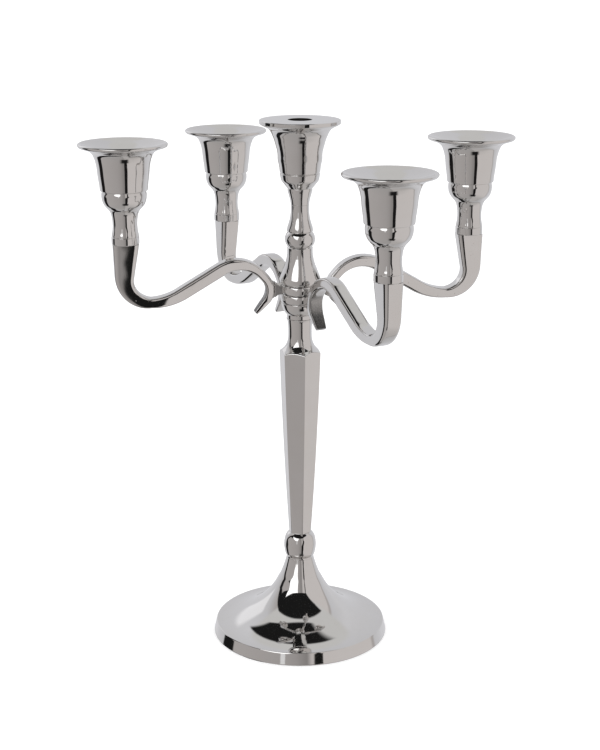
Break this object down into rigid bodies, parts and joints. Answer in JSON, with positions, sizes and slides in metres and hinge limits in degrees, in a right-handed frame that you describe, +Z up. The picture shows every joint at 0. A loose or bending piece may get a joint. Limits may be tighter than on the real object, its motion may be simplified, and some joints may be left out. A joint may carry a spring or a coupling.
{
  "type": "tabletop candelabra",
  "caption": "Free-standing metal candelabra: four scrolled arms on two turning yokes, flared candle cups, a six-sided tapered column and a round trumpet base.",
  "frame": {"origin": "on the table, at the centre of the round base", "axes": "+Z up along the column; at rest the upper yoke's right and left arms lie along +X and -X, and the lower yoke's front arm points 18.4 degrees from -Y towards +X"},
  "size_m": [0.4008, 0.3844, 0.5],
  "materials": {
    "polished_nickel": "cast aluminium, nickel plated and mirror polished",
    "zinc_plated_steel": "zinc plated steel, dull"
  },
  "bodies": {
    "stand": {"base": "polished_nickel", "base_washer": "zinc_plated_steel", "base_nut": "zinc_plated_steel", "tie_rod": "zinc_plated_steel", "column": "polished_nickel", "collar": "polished_nickel", "centre_stem": "polished_nickel", "centre_neck": "polished_nickel", "centre_cup": "polished_nickel"},
    "lower_arms": {"lower_yoke": "polished_nickel", "lower_lug_studs": "zinc_plated_steel", "lower_cup_studs": "zinc_plated_steel", "arm_front": "polished_nickel", "arm_back": "polished_nickel", "spool_front": "polished_nickel", "spool_back": "polished_nickel", "cup_front": "polished_nickel", "cup_back": "polished_nickel"},
    "upper_arms": {"upper_yoke": "polished_nickel", "upper_lug_studs": "zinc_plated_steel", "upper_cup_studs": "zinc_plated_steel", "arm_right": "polished_nickel", "arm_left": "polished_nickel", "spool_right": "polished_nickel", "spool_left": "polished_nickel", "cup_right": "polished_nickel", "cup_left": "polished_nickel"}
  },
  "joints": [
    {"name": "lower_swivel", "type": "hinge", "parent": "stand", "child": "lower_arms", "pos_m": [0, 0, 0.3356], "axis": [0, 0, 1], "continuous": true},
    {"name": "upper_swivel", "type": "hinge", "parent": "lower_arms", "child": "upper_arms", "pos_m": [0, 0, 0.3442], "axis": [0, 0, 1], "range_deg": [-26, 62]}
  ]
}
